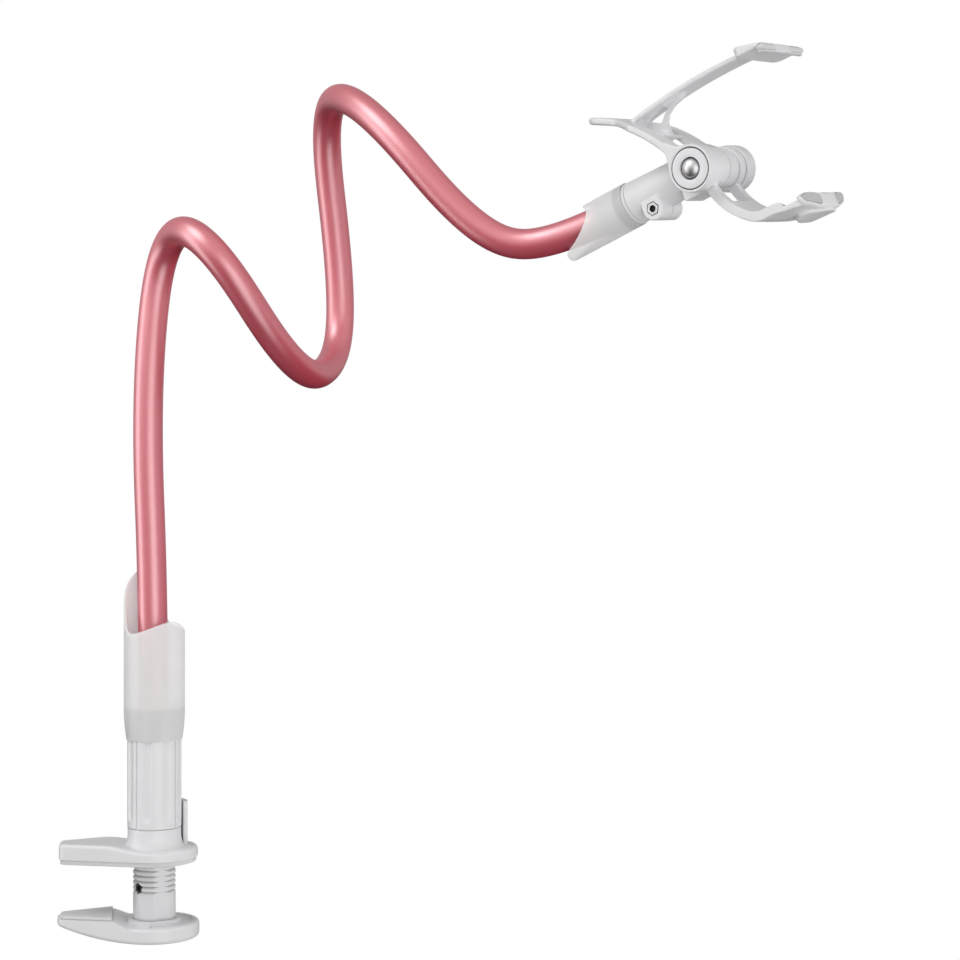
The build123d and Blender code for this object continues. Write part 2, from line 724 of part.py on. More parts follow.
# Torsion spring in the near boss: a short coil, one leg in the boss wall and one in the near ear
coil_low = boss_inner + spring_pocket_floor + running_gap + spring_wire / 2
coil_high = hub_half - hinge_cap_thickness - running_gap - spring_wire / 2
with BuildPart() as torsion_spring:
    with BuildLine() as coil:
        coil_foot = hub + near * coil_low
        Helix(spring_pitch, coil_high - coil_low, spring_coil_radius, center=coil_foot, direction=near)
    coil_start = coil.line @ 0
    coil_end = coil.line @ 1
    leg_out = (coil_end - hub - near * coil_high).normalized()
    with BuildSketch(Plane(origin=coil_start + near * spring_wire / 2, z_dir=near * -1)):
        Circle(spring_wire / 2)
    extrude(amount=coil_low + spring_wire / 2 - boss_inner + spring_leg)
    with BuildSketch(Plane(origin=coil_end - leg_out * spring_wire / 2, z_dir=leg_out)):
        Circle(spring_wire / 2)
    extrude(amount=spring_leg + spring_wire / 2)
    with BuildSketch(Plane(origin=coil_start, z_dir=coil.line % 0)):
        Circle(spring_wire / 2)
    sweep(path=coil.line)
leg_angle = degrees(atan2((coil_start - hub).dot(clip.y_dir), (coil_start - hub).dot(clip.x_dir)))

# Upper lever: thumb tongue and plate, two hinge bosses, and a ribbed arch that carries the upper claw
with BuildPart() as upper_lever:
    with BuildSketch(clip.offset(-hub_half)):
        arc_band(plate_root, plate_bend, tongue_end, plate_thickness)
    extrude(amount=2 * hub_half)
    with BuildSketch(clip_plan) as plate_plan:
        with BuildLine():
            Polyline(
                (hinge_boss_radius, -hub_half),
                (-shoulder_start, -hub_half),
                (-shoulder_end, -tongue_width / 2),
                (-plate_back, -tongue_width / 2),
                (-plate_back, tongue_width / 2),
                (-shoulder_end, tongue_width / 2),
                (-shoulder_start, hub_half),
                (hinge_boss_radius, hub_half),
                close=True,
            )
        make_face()
        fillet(plate_plan.vertices().sort_by(Axis.X)[:2], radius=tongue_corner)
    extrude(amount=3 * hub_half, both=True, mode=Mode.INTERSECT)
    lever_edges = upper_lever.edges()
    plate_edges = lever_edges.filter_by(lambda edge: clip.to_local_coords(edge.center()).X < -plate_rim)
    fillet(plate_edges, radius=plate_edge)
    with BuildSketch(clip_plan):
        hole_half = plate_hole_edge - rib_width / 2
        hole_offset = plate_hole_edge - hole_half / 2
        with Locations((plate_hole_middle, hole_offset), (plate_hole_middle, -hole_offset)):
            RectangleRounded(plate_hole_length, hole_half, plate_hole_corner)
    extrude(amount=3 * hub_half, both=True, mode=Mode.SUBTRACT)
    with BuildSketch(clip):
        Circle(plate_clearance)
    extrude(amount=ear_inner + running_gap, both=True, mode=Mode.SUBTRACT)
    for side in (1, -1):
        with BuildSketch(clip.offset(side * boss_inner)):
            Circle(hinge_boss_radius)
            with BuildLine():
                Polyline(*boss_web, close=True)
            make_face()
        extrude(amount=side * boss_width)
    with BuildSketch(clip.offset(-arch_width / 2)):
        arc_band(arch_root, arch_crown, (upper_face - arch_overlap, claw_outside), arch_thickness)
    extrude(amount=arch_width)
    with BuildSketch(clip.offset(-rib_width / 2)):
        with BuildLine():
            Polyline(*rib_crest, *rib_strut, *rib_base, close=True)
        make_face()
        with BuildLine():
            Polyline(*rib_opening, close=True)
        make_face(mode=Mode.SUBTRACT)
    extrude(amount=rib_width)
    with BuildSketch(clip_plan.offset(grip - upper_lip)):
        with Locations((upper_face - claw_depth / 2, 0)):
            RectangleRounded(claw_depth, claw_width, claw_corner)
    extrude(amount=upper_lip + claw_thickness + claw_rise)
    with BuildSketch(clip):
        with BuildLine():
            slope_start = (upper_face - arch_overlap - claw_rise, claw_outside + claw_rise)
            slope_end = (upper_face + claw_rise, grip + claw_thickness / 3)
            above = claw_outside + 2 * claw_rise
            Polyline(slope_start, slope_end, (slope_end[0], above), (slope_start[0], above), close=True)
        make_face()
        with Locations((upper_face - lip_thickness - claw_depth, grip - claw_depth)):
            Rectangle(2 * claw_depth, 2 * claw_depth)
    extrude(amount=claw_width, both=True, mode=Mode.SUBTRACT)
    with BuildSketch(clip_front.offset(upper_face)):
        for side in (1, -1):
            pad_window(side, upper_pad_centre, upper_claw_pad_height, seat_gap)
    extrude(amount=-claw_window_depth, mode=Mode.SUBTRACT)
    with BuildSketch(clip.offset(-2 * hub_half)):
        Circle(pin_diameter / 2 + seat_gap)
    extrude(amount=4 * hub_half, mode=Mode.SUBTRACT)
    with BuildSketch(clip.offset(boss_inner + spring_pocket_floor)):
        Circle(spring_pocket_diameter / 2)
    extrude(amount=boss_width, mode=Mode.SUBTRACT)
    for side in (1, -1):
        with BuildSketch(clip.offset(side * (hub_half - hinge_cap_thickness))):
            Circle(hinge_cap_diameter / 2 + seat_gap)
        extrude(amount=side * boss_width, mode=Mode.SUBTRACT)
    with BuildSketch(Plane(origin=coil_start, z_dir=near * -1)):
        Circle(spring_wire / 2 + seat_gap)
    extrude(amount=boss_width, mode=Mode.SUBTRACT)
    with BuildSketch(Plane(origin=coil_end, z_dir=leg_out)):
        Circle(spring_wire / 2 + seat_gap)
    extrude(amount=spring_leg + seat_gap, mode=Mode.SUBTRACT)

# Lower lever: two hinge ears, a swept arm and the broad lower claw with a stepped underside
with BuildPart() as lower_lever:
    with BuildSketch(clip.offset(-claw_width / 2)):
        floor_back = (lower_face - 17, 1.3 - grip)
        floor_knee = (lower_face - 12, -grip)
        sole_front = (lower_face - lip_thickness, -claw_outside)
        sole_back = (lower_face - 14, -grip - claw_thickness / 2)
        arc_band(lower_arm_root, lower_arm_belly, (lower_face - 13, 0.6 - grip), lower_arm_thickness)
        with BuildLine():
            Polyline(floor_back, floor_knee, (sole_front[0], -grip), sole_front, sole_back, close=True)
        make_face()
    extrude(amount=claw_width)
    with BuildSketch(clip_plan):
        with BuildLine():
            ear_edge = ear_inner + ear_width
            claw_edge = claw_width / 2 - claw_height_corner / 2
            Polyline(
                (-10, ear_edge),
                (10, ear_edge),
                (lower_face - 15, claw_edge - 1),
                (lower_face, claw_edge),
                (lower_face, -claw_edge),
                (lower_face - 15, 1 - claw_edge),
                (10, -ear_edge),
                (-10, -ear_edge),
                close=True,
            )
        make_face()
    extrude(amount=3 * hub_half, both=True, mode=Mode.INTERSECT)
    with BuildSketch(clip_front.offset(lower_face)):
        lip_height = claw_thickness + lower_lip
        with Locations((0, lip_height / 2 - claw_outside)):
            RectangleRounded(claw_width, lip_height, claw_height_corner)
    extrude(amount=-lip_thickness)
    fillet(lower_lever.faces().sort_by(Axis(hub, clip.x_dir))[-1].edges(), radius=lip_edge)
    with BuildSketch(clip_plan.offset(-claw_outside - claw_step)):
        with Locations((lower_face - claw_depth / 2, 0)):
            Ellipse(claw_depth / 2 - 1, claw_width / 2 - 2 * claw_corner)
    extrude(amount=claw_step + claw_thickness)
    with BuildSketch(clip_front.offset(lower_face)):
        for side in (1, -1):
            pad_window(side, lower_pad_centre, lower_claw_pad_height, seat_gap)
    extrude(amount=-claw_window_depth, mode=Mode.SUBTRACT)
    with BuildSketch(clip):
        Circle(ear_slot_radius)
    extrude(amount=ear_inner, both=True, mode=Mode.SUBTRACT)
    for side in (1, -1):
        with BuildSketch(clip.offset(side * ear_inner)):
            Circle(ear_radius)
        extrude(amount=side * ear_width)
    with BuildSketch(clip.offset(-2 * hub_half)):
        Circle(pin_diameter / 2 + pin_fit)
    extrude(amount=4 * hub_half, mode=Mode.SUBTRACT)
    with BuildSketch(clip.offset(ear_inner + ear_width - spring_leg)):
        slot_ends = (leg_angle - jaw_closing - slot_margin, leg_angle + jaw_opening + slot_margin)
        slot_angles = (slot_ends[0], sum(slot_ends) / 2, slot_ends[1])
        slot_points = [on_circle(spring_coil_radius, angle) for angle in slot_angles]
        arc_band(*slot_points, spring_wire + 2 * running_gap)
    extrude(amount=2 * spring_leg, mode=Mode.SUBTRACT)


def claw_pad(side, face, height, tall):
    """Soft grip that fills one of a claw's windows and stands a little way into the grip."""
    with BuildPart() as pad:
        with BuildSketch(clip_front.offset(face)):
            pad_window(side, height, tall, 0)
        extrude(amount=seat_gap - claw_window_depth)
    return pad


pieces = {
    "upper_jaw": upper_jaw,
    "upper_jaw_pad": upper_jaw_pad,
    "lower_jaw": lower_jaw,
    "lower_jaw_pad": lower_jaw_pad,
    "clamp_post": clamp_post,
    "post_screw": post_screw,
    "arm_bolt": arm_bolt,
    "arm_nut": arm_nut,
    "clamp_handle": clamp_handle,
    "lower_sleeve": lower_sleeve,
    "gooseneck_arm": gooseneck_arm,
    "upper_sleeve": upper_sleeve,
    "end_collar": end_collar,
    "connector_shell_near": connector_shell_near,
    "connector_shell_far": connector_shell_far,
    "connector_bolt": connector_bolt,
    "connector_nut": connector_nut,
    "hinge_pin": hinge_pin,
    "hinge_cap_near": hinge_cap_near,
    "hinge_cap_far": hinge_cap_far,
    "upper_lever": upper_lever,
    "lower_lever": lower_lever,
    "torsion_spring": torsion_spring,
    "upper_pad_near": claw_pad(1, upper_face, upper_pad_centre, upper_claw_pad_height),
    "upper_pad_far": claw_pad(-1, upper_face, upper_pad_centre, upper_claw_pad_height),
    "lower_pad_near": claw_pad(1, lower_face, lower_pad_centre, lower_claw_pad_height),
    "lower_pad_far": claw_pad(-1, lower_face, lower_pad_centre, lower_claw_pad_height),
}
for name, piece in pieces.items():
    piece.part.label = name
    export_step(piece.part, f"parts/{name}.step")
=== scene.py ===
# %% [markdown]
# A clamp-on holder: a white screw clamp, a long rose-coloured arm that keeps the shape it is bent to, two
# milky sleeves and a sprung clip on a swivelling head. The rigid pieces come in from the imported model, in
# metres and in their final place. This lesson gives them finishes, makes the soft pieces and the bent arm
# afresh, and sets up the picture.

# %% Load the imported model
import json
from math import cos, pi, radians, sin

import bmesh
import bpy
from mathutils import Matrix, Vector

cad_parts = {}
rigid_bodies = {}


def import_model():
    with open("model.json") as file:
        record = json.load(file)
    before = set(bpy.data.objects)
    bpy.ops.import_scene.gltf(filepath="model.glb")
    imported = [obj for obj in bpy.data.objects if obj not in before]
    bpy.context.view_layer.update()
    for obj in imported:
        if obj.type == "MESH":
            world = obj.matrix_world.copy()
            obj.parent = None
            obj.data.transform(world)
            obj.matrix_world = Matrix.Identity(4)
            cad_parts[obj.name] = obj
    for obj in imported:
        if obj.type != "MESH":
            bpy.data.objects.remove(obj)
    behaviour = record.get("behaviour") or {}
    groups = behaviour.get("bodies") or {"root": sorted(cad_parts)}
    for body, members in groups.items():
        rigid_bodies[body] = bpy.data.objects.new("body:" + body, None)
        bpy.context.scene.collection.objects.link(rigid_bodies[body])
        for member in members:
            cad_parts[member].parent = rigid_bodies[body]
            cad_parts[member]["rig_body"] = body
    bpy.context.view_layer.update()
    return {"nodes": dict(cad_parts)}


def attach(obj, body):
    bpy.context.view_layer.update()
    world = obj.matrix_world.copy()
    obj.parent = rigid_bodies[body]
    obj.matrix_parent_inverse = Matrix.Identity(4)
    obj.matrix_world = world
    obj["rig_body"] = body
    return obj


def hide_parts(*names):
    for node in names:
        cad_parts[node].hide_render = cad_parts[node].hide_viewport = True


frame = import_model()
nodes = frame["nodes"]

# %% [markdown]
# The camera stands level, about a metre in front of the arm, with a long lens, so upright pieces stay upright
# and the loops are hardly foreshortened. A level camera with no shift is the simplest one that puts both the
# clamp and the head where they belong in a square picture.

# %% Camera
scene_objects = bpy.context.scene.collection.objects
camera_data = bpy.data.cameras.new("camera")
camera_data.sensor_width = 36.0
camera_data.lens = 76.875
camera = bpy.data.objects.new("camera", camera_data)
camera.location = (0.155, -0.976, 0.181)
camera.rotation_euler = (radians(90), 0, 0)
scene_objects.link(camera)
bpy.context.scene.camera = camera
bpy.context.scene.view_settings.view_transform = "Standard"
print("camera", tuple(camera.location), "lens", camera_data.lens)

# %% [markdown]
# Every finish below is procedural. To keep the shader maths readable, one small class wraps a socket so that
# Python's own operators add the Math nodes. The alternative, wiring each node by hand, hides the idea behind
# a page of links.

# %% Sockets that take part in arithmetic
def plug(tree, value, entry):
    """Link a wire to a socket, or set the socket to a plain value."""
    if isinstance(value, Wire):
        tree.links.new(value.socket, entry)
    else:
        entry.default_value = value


class Wire:
    """A node socket that takes part in Python arithmetic by adding Math nodes."""

    def __init__(self, tree, socket):
        self.tree = tree
        self.socket = socket

    def combine(self, operation, first, second):
        node = self.tree.nodes.new("ShaderNodeMath")
        node.operation = operation
        for entry, value in zip(node.inputs, (first, second)):
            plug(self.tree, value, entry)
        return Wire(self.tree, node.outputs[0])

    def __add__(self, other):
        return self.combine("ADD", self, other)

    def __radd__(self, other):
        return self.combine("ADD", other, self)

    def __sub__(self, other):
        return self.combine("SUBTRACT", self, other)

    def __rsub__(self, other):
        return self.combine("SUBTRACT", other, self)

    def __mul__(self, other):
        return self.combine("MULTIPLY", self, other)

    def __rmul__(self, other):
        return self.combine("MULTIPLY", other, self)


# %% [markdown]
# Any other node comes from one method, which takes the node's type, its settings and its sockets. A material,
# the world and the arm's geometry are all trees of nodes, so all of them use it, and a finish adds the few
# steps that materials repeat: a place on the piece, a noise, a mix of two colours and a bump.

# %% Trees and finishes
class Tree:
    """A node tree that is filled node by node."""

    def __init__(self, tree):
        self.tree = tree
        tree.nodes.clear()

    def node(self, kind, settings=None, sockets=None, out=None):
        """Add a node, set it up, then set or link its sockets, and give back one of its outputs."""
        made = self.tree.nodes.new(kind)
        for key, value in (settings or {}).items():
            setattr(made, key, value)
        for key, value in (sockets or {}).items():
            entry = next(s for s in made.inputs if s.enabled and key in (s.identifier, s.name))
            plug(self.tree, value, entry)
        found = [s for s in made.outputs if s.enabled and out in (None, s.identifier, s.name)]
        return Wire(self.tree, found[0]) if found else None

    def smooth_step(self, value, low, high, at_low=0.0, at_high=1.0):
        """Go smoothly from one level to another as a value goes from low to high."""
        sockets = {"Value": value, "From Min": low, "From Max": high, "To Min": at_low, "To Max": at_high}
        return self.node("ShaderNodeMapRange", {"interpolation_type": "SMOOTHSTEP"}, sockets)


class Finish(Tree):
    """A procedural material."""

    def __init__(self, name):
        self.material = bpy.data.materials.new(name)
        self.material.use_nodes = True
        super().__init__(self.material.node_tree)

    def place(self):
        """Object coordinates, in metres, which stay with the piece."""
        return self.node("ShaderNodeTexCoord", out="Object")

    def noise(self, where, scale, detail=2.0, rough=0.5):
        sockets = {"Vector": where, "Scale": scale, "Detail": detail, "Roughness": rough}
        return self.node("ShaderNodeTexNoise", None, sockets)

    def blend(self, share, first, second):
        """Mix two colours by a share from 0 to 1."""
        sockets = {"Factor_Float": share, "A_Color": first, "B_Color": second}
        return self.node("ShaderNodeMix", {"data_type": "RGBA"}, sockets, out="Result_Color")

    def bump(self, height, strength, distance):
        sockets = {"Height": height, "Strength": strength, "Distance": distance}
        return self.node("ShaderNodeBump", None, sockets)

    def finish(self, sockets):
        """End the material in one Principled shader with these sockets."""
        shader = self.node("ShaderNodeBsdfPrincipled", None, sockets)
        self.node("ShaderNodeOutputMaterial", None, {"Surface": shader})
        print("finish", self.material.name, "nodes", len(self.tree.nodes))
        return self.material


def grey(level):
    """A neutral colour."""
    return (level, level, level, 1)


# %% [markdown]
# The clamp, handle, connector and clip are moulded in white ABS with a fine spark-eroded skin. Close up it is
# not one flat white: the gloss wanders a little with the flow of the plastic, and a fine grain breaks up the
# highlights. Noise at two scales gives both, kept faint so that the pieces still read as clean white. The
# thin dark seams in the parting lines are painted shade: the colour drops where a surface is closed in on
# both sides within about a millimetre. The clamp's painted seams are fainter, and the post's thread, whose
# grooves are wider, gets a longer reach, so painted shade also darkens its grooves.

# %% White moulded plastic
def moulded_plastic(name, light, shade, roughness, reach, open_at, crease_shade):
    closed_at = 0.1
    skin = Finish(name)
    where = skin.place()
    flow = skin.noise(where, scale=45.0, detail=3.0)
    grain = skin.noise(where, scale=2600.0, detail=2.0, rough=0.6)
    # painted shade: the colour darkens to a grey where the surface is closed in, in seams, corners and
    # grooves
    openness = skin.node("ShaderNodeAmbientOcclusion", {"samples": 8}, {"Distance": reach}, out="AO")
    unshaded = skin.smooth_step(openness, closed_at, open_at)
    return skin.finish({
        "Base Color": skin.blend(unshaded, grey(crease_shade), skin.blend(flow, shade, light)),
        "Roughness": roughness - 0.05 + 0.1 * flow + 0.06 * (grain - 0.5),
        "Normal": skin.bump(grain, strength=0.12, distance=0.0001),
        "IOR": 1.5,
    })


light_white, shaded_white = (0.83, 0.83, 0.84, 1), (0.78, 0.78, 0.795, 1)
thread_light, thread_shade = (0.8, 0.8, 0.81, 1), (0.74, 0.74, 0.755, 1)
white_plastic = moulded_plastic(
    "white_plastic", light_white, shaded_white, roughness=0.36, reach=0.001, open_at=0.48, crease_shade=0.05,
)
clamp_plastic = moulded_plastic(
    "clamp_plastic", light_white, shaded_white, roughness=0.36, reach=0.0008, open_at=0.42, crease_shade=0.5,
)
# painted shade also fills the thread's grooves, over a longer reach
threaded_plastic = moulded_plastic(
    "threaded_plastic", thread_light, thread_shade, roughness=0.4, reach=0.003, open_at=0.85, crease_shade=0.02,
)

# %% [markdown]
# The arm is an aluminium-wire core in a smooth rose-coloured metallic skin under a satin lacquer. The skin is
# a deep saturated rose with tiny flakes in it, and the lacquer lays white reflections over it: pale streaks
# where it mirrors a lamp, a dusty pink where it mirrors the room, and wine red where it mirrors something
# dark. A plain metal would tint its reflections rose, so a strong coat over a slightly metallic base is used
# instead.

# %% Rose metal
rose = Finish("rose_metal")
where = rose.place()
flake = rose.noise(where, scale=5200.0, detail=1.0)
cloud = rose.noise(where, scale=28.0, detail=3.0)
deep_rose, clear_rose = (0.58, 0.034, 0.076, 1), (0.68, 0.05, 0.096, 1)
rose_metal = rose.finish({
    "Base Color": rose.blend(0.5 * cloud + 0.5 * flake, deep_rose, clear_rose),
    "Metallic": 0.15,
    "Roughness": 0.38 + 0.06 * cloud + 0.05 * flake,
    "Coat Weight": 1.0,
    "Coat Roughness": 0.4,
    "Coat IOR": 2.7,
})

# %% [markdown]
# The two sleeves are soft silicone, milky rather than clear: what is inside shows as a blurred tint.
# Refraction like that of glass would be too clear and slow, so the finish is a pale skin that lets part of
# the light straight through, with a slight clouding in it as poured silicone has. A wall has two skins, so
# the inner one, which the sleeve's own attribute marks, is left nearly clear: otherwise the wall would count
# twice. A second attribute marks a band of painted shade where the sleeve covers a moulding, which makes the
# sleeve greyer there.

# %% Milky silicone
milk = Finish("milky_silicone")
where = milk.place()
cloud = milk.noise(where, scale=60.0, detail=3.0)
dust = milk.noise(where, scale=1500.0)
outer_skin = milk.node("ShaderNodeAttribute", {"attribute_name": "outer_skin"}, out="Fac")
# painted shade: a greyer band where the sleeve covers a moulding
shade_band = milk.node("ShaderNodeAttribute", {"attribute_name": "shade_band"}, out="Fac")
unshaded_milk = milk.blend(cloud, grey(0.94), (0.98, 0.98, 0.975, 1))
milky_silicone = milk.finish({
    "Base Color": milk.blend(shade_band, unshaded_milk, grey(0.77)),
    "Roughness": 0.42 + 0.1 * dust,
    "Alpha": 0.12 + outer_skin * (0.62 + 0.06 * cloud),
    "Normal": milk.bump(dust, strength=0.08, distance=0.0001),
    "IOR": 1.41,
})

# %% [markdown]
# The grips in the lower claw are light grey rubber, and those in the upper claw and on the jaws are nearly as
# white as the mouldings. Rubber scatters nearly all its light, so it is rough and low in gloss. A noise would
# give it a cloudy skin, so cells make its pebbled grain, half a millimetre or so across.

# %% Rubber
def rubber_finish(name, dark, light):
    rubber = Finish(name)
    where = rubber.place()
    pebble = rubber.node("ShaderNodeTexVoronoi", {"feature": "F1"}, {"Vector": where, "Scale": 1800.0})
    patch = rubber.noise(where, scale=70.0, detail=3.0)
    return rubber.finish({
        "Base Color": rubber.blend(patch, dark, light),
        "Roughness": 0.62 + 0.16 * pebble,
        "Normal": rubber.bump(pebble, strength=0.25, distance=0.0002),
    })


grey_rubber = rubber_finish("grey_rubber", (0.50, 0.505, 0.505, 1), (0.58, 0.585, 0.585, 1))
pale_rubber = rubber_finish("pale_rubber", grey(0.68), grey(0.75))

# %% [markdown]
# The hinge pin's domes are satin steel and the nut on the head is bright. The small bolts and the arm nut are
# painted near black, as painted shade for the dark holes they sit in. All are metals whose polish varies a
# little, so one function makes them; the darker ones are rougher.

# %% Steel
def steel_finish(name, dark, light, roughness):
    metal = Finish(name)
    wear = metal.noise(metal.place(), scale=320.0, detail=4.0)
    return metal.finish({
        "Base Color": metal.blend(wear, dark, light),
        "Metallic": 1.0,
        "Roughness": roughness + 0.12 * wear,
        "Normal": metal.bump(wear, strength=0.04, distance=0.0001),
    })


bright_steel = steel_finish("bright_steel", (0.52, 0.52, 0.53, 1), (0.62, 0.62, 0.63, 1), roughness=0.22)
satin_steel = steel_finish("satin_steel", (0.55, 0.55, 0.56, 1), (0.6, 0.6, 0.61, 1), roughness=0.38)
# painted shade: near-black steel that stands for the dark holes round the bolts and the arm nut
hole_shade_steel = steel_finish("hole_shade_steel", (0.02, 0.02, 0.022, 1), (0.05, 0.05, 0.052, 1), roughness=0.45)

# %% [markdown]
# Three small helpers serve every piece that is made here: one carries out an object's modifiers, one turns a
# net of points and faces into a mesh, and one links a finished mesh at the origin, hands it to its body,
# gives it its finish and hides the nodes it stands for.

# %% Piece helpers
mm = 0.001


def finished_mesh(source):
    """The mesh of an object with its modifiers carried out."""
    bpy.context.view_layer.update()
    ready = source.evaluated_get(bpy.context.evaluated_depsgraph_get())
    return bpy.data.meshes.new_from_object(ready)


def mesh_from(net):
    """Turn a net into a mesh and free it."""
    mesh = bpy.data.meshes.new("net")
    net.to_mesh(mesh)
    net.free()
    return mesh


def settle(name, mesh, finish, body, slot, *stands_for):
    """Link a finished mesh as a piece of the holder."""
    mesh.name = name
    mesh.materials.clear()
    mesh.materials.append(finish)
    piece = bpy.data.objects.new(name, mesh)
    scene_objects.link(piece)
    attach(piece, body)
    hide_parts(*stands_for)
    print("piece", name, "faces", len(mesh.polygons))


# %% [markdown]
# The arm is a stiff tube that someone has bent by hand into two loops and a dip. A designer's solid makes
# such a bend from straight runs and arcs, which shows as kinks in the reflections. Here one smooth spline has
# the same corners as its control points, from the arm's foot in the post to its end in the head's collar.

# %% Route of the arm
arm_route = [
    (0, 0, -18), (0, 0, 116), (-4.5, 0, 220), (2, 8, 300), (30, -46, 295), (69.5, -6, 227), (83, 60, 238.5),
    (85, 66, 279.5), (74.5, 52, 372), (99, -14, 361), (157, -30, 289), (190.656, -36.381, 288.712),
    (222.476, -61.242, 303.489),
]
route_data = bpy.data.curves.new("arm_route", "CURVE")
route_data.dimensions = "3D"
route = route_data.splines.new("NURBS")
route.points.add(len(arm_route) - 1)
for point, corner in zip(route.points, arm_route):
    point.co = (corner[0] * mm, corner[1] * mm, corner[2] * mm, 1)
route.order_u = 3
route.use_endpoint_u = True
route.resolution_u = 24
route_object = bpy.data.objects.new("arm_route", route_data)
scene_objects.link(route_object)
print("route", len(route.points), "points")

# %% [markdown]
# A path and a section are all that the arm is, so a tree of geometry nodes with a radius and a step is the
# plainest way to make it. It resamples the route, evens out its bends and sweeps a circle along it.

# %% Tree for a bent tube
bend_tree = bpy.data.node_groups.new("bent_tube", "GeometryNodeTree")
for way in ("INPUT", "OUTPUT"):
    bend_tree.interface.new_socket("Geometry", in_out=way, socket_type="NodeSocketGeometry")
inputs = {}
for label, kind in (
    ("Route", "NodeSocketObject"), ("Radius", "NodeSocketFloat"), ("Step", "NodeSocketFloat"),
    ("Evening", "NodeSocketInt"), ("Sides", "NodeSocketInt"), ("Finish", "NodeSocketMaterial"),
):
    inputs[label] = bend_tree.interface.new_socket(label, in_out="INPUT", socket_type=kind).identifier

bend = Tree(bend_tree)
entry_node = bend_tree.nodes.new("NodeGroupInput")
given = {label: Wire(bend_tree, entry_node.outputs[label]) for label in inputs}
line = bend.node(
    "GeometryNodeObjectInfo", {"transform_space": "ORIGINAL"}, {"Object": given["Route"]}, out="Geometry",
)
even = bend.node("GeometryNodeResampleCurve", {"mode": "LENGTH"}, {"Curve": line, "Length": given["Step"]})
spot = bend.node("GeometryNodeInputPosition")
eased_spot = bend.node(
    "GeometryNodeBlurAttribute", {"data_type": "FLOAT_VECTOR"},
    {"Value": spot, "Iterations": given["Evening"], "Weight": 1.0},
)
smooth_line = bend.node("GeometryNodeSetPosition", None, {"Geometry": even, "Position": eased_spot})
circle = bend.node(
    "GeometryNodeCurvePrimitiveCircle", {"mode": "RADIUS"},
    {"Resolution": given["Sides"], "Radius": given["Radius"]}, out="Curve",
)
tube = bend.node(
    "GeometryNodeCurveToMesh", None, {"Curve": smooth_line, "Profile Curve": circle, "Fill Caps": True},
)
soft = bend.node("GeometryNodeSetShadeSmooth", None, {"Geometry": tube, "Shade Smooth": True})
real = bend.node("GeometryNodeRealizeInstances", None, {"Geometry": soft})
dressed = bend.node("GeometryNodeSetMaterial", None, {"Geometry": real, "Material": given["Finish"]})
bend.node("NodeGroupOutput", None, {"Geometry": dressed})
print("tree", bend_tree.name, "nodes", len(bend_tree.nodes), "inputs", list(inputs))

# %% [markdown]
# The tree then runs once, on an empty mesh, with the arm's own sizes. Its result is kept as a plain mesh,
# because the arm doesn't change again, and the route and the empty mesh go.

# %% Bendable arm
host = bpy.data.objects.new("arm_host", bpy.data.meshes.new("arm_host"))
scene_objects.link(host)
sweep = host.modifiers.new("bent_tube", "NODES")
sweep.node_group = bend_tree
arm_sizes = {
    "Route": route_object, "Radius": 7.0 * mm, "Step": 2.0 * mm, "Evening": 14, "Sides": 48,
    "Finish": rose_metal,
}
for label, value in arm_sizes.items():
    sweep[inputs[label]] = value
arm_mesh = finished_mesh(host)
host.modifiers.remove(sweep)
bpy.data.objects.remove(host)
bpy.data.objects.remove(route_object)
settle("bent_arm", arm_mesh, rose_metal, "post", "rose_metal", "gooseneck_arm")

# %% [markdown]
# Both sleeves are soft tubes with a mouth cut on the slant, so that a long tongue stays on one side. Cutting
# a tube with another shape leaves ragged edges. A grid that goes round the tube and up the wall, over a
# rounded rim and down the inside again makes the same sleeve with clean quads: only the height of the rim
# changes from column to column. First come the curves: a smooth step, the rim's height and the outline of the
# wall.

# %% Curves of a sleeve
def clamped(value):
    """A value kept between 0 and 1."""
    return min(max(value, 0), 1)


def ease(value):
    """A smooth step from 0 to 1."""
    share = clamped(value)
    return share * share * (3 - 2 * share)


def rim_height(stops, angle):
    """Height of a rim at an angle, on a smooth closed curve through (angle, height) stops."""
    loop = [(a - 360, h) for a, h in stops[-2:]] + stops + [(a + 360, h) for a, h in stops[:2]]
    for before, (a, low), (b, high), after in zip(loop, loop[1:], loop[2:], loop[3:]):
        if a <= angle <= b:
            share = (angle - a) / (b - a)
            rise_a = (high - before[1]) / (b - before[0]) * (b - a)
            rise_b = (after[1] - low) / (after[0] - a) * (b - a)
            bulge = share * (1 - share) * (rise_a * (1 - share) - rise_b * share)
            return low + (high - low) * ease(share) + bulge


def wall_outline(foot, top, outside, inside):
    """A wall's outline, up the outside and down the inside, as (radius, height, share of outer skin)."""
    rows, turn, hem_depth = 48, 6, 0.6
    heights = [foot + (top - foot) * row / rows for row in range(rows + 1)]
    swings = [pi * step / turn for step in range(1, turn)]
    outline = [(outside(height), height, 1) for height in heights]
    middle, half = (outside(top) + inside(top)) / 2, (outside(top) - inside(top)) / 2
    outline += [(middle + half * cos(a), top + half * sin(a), 0.5 + 0.5 * cos(a)) for a in swings]
    outline += [(inside(height), height, 0) for height in reversed(heights)]
    middle, half = (outside(foot) + inside(foot)) / 2, (outside(foot) - inside(foot)) / 2
    outline += [
        (middle - half * cos(a), foot - hem_depth * half * sin(a), 0.5 - 0.5 * cos(a)) for a in swings
    ]
    return outline


# %% [markdown]
# Then comes the grid itself. Each point also carries the two attributes that the silicone reads: how far it
# belongs to the outer skin, and how much painted shade it takes in the band where the sleeve covers a
# moulding.

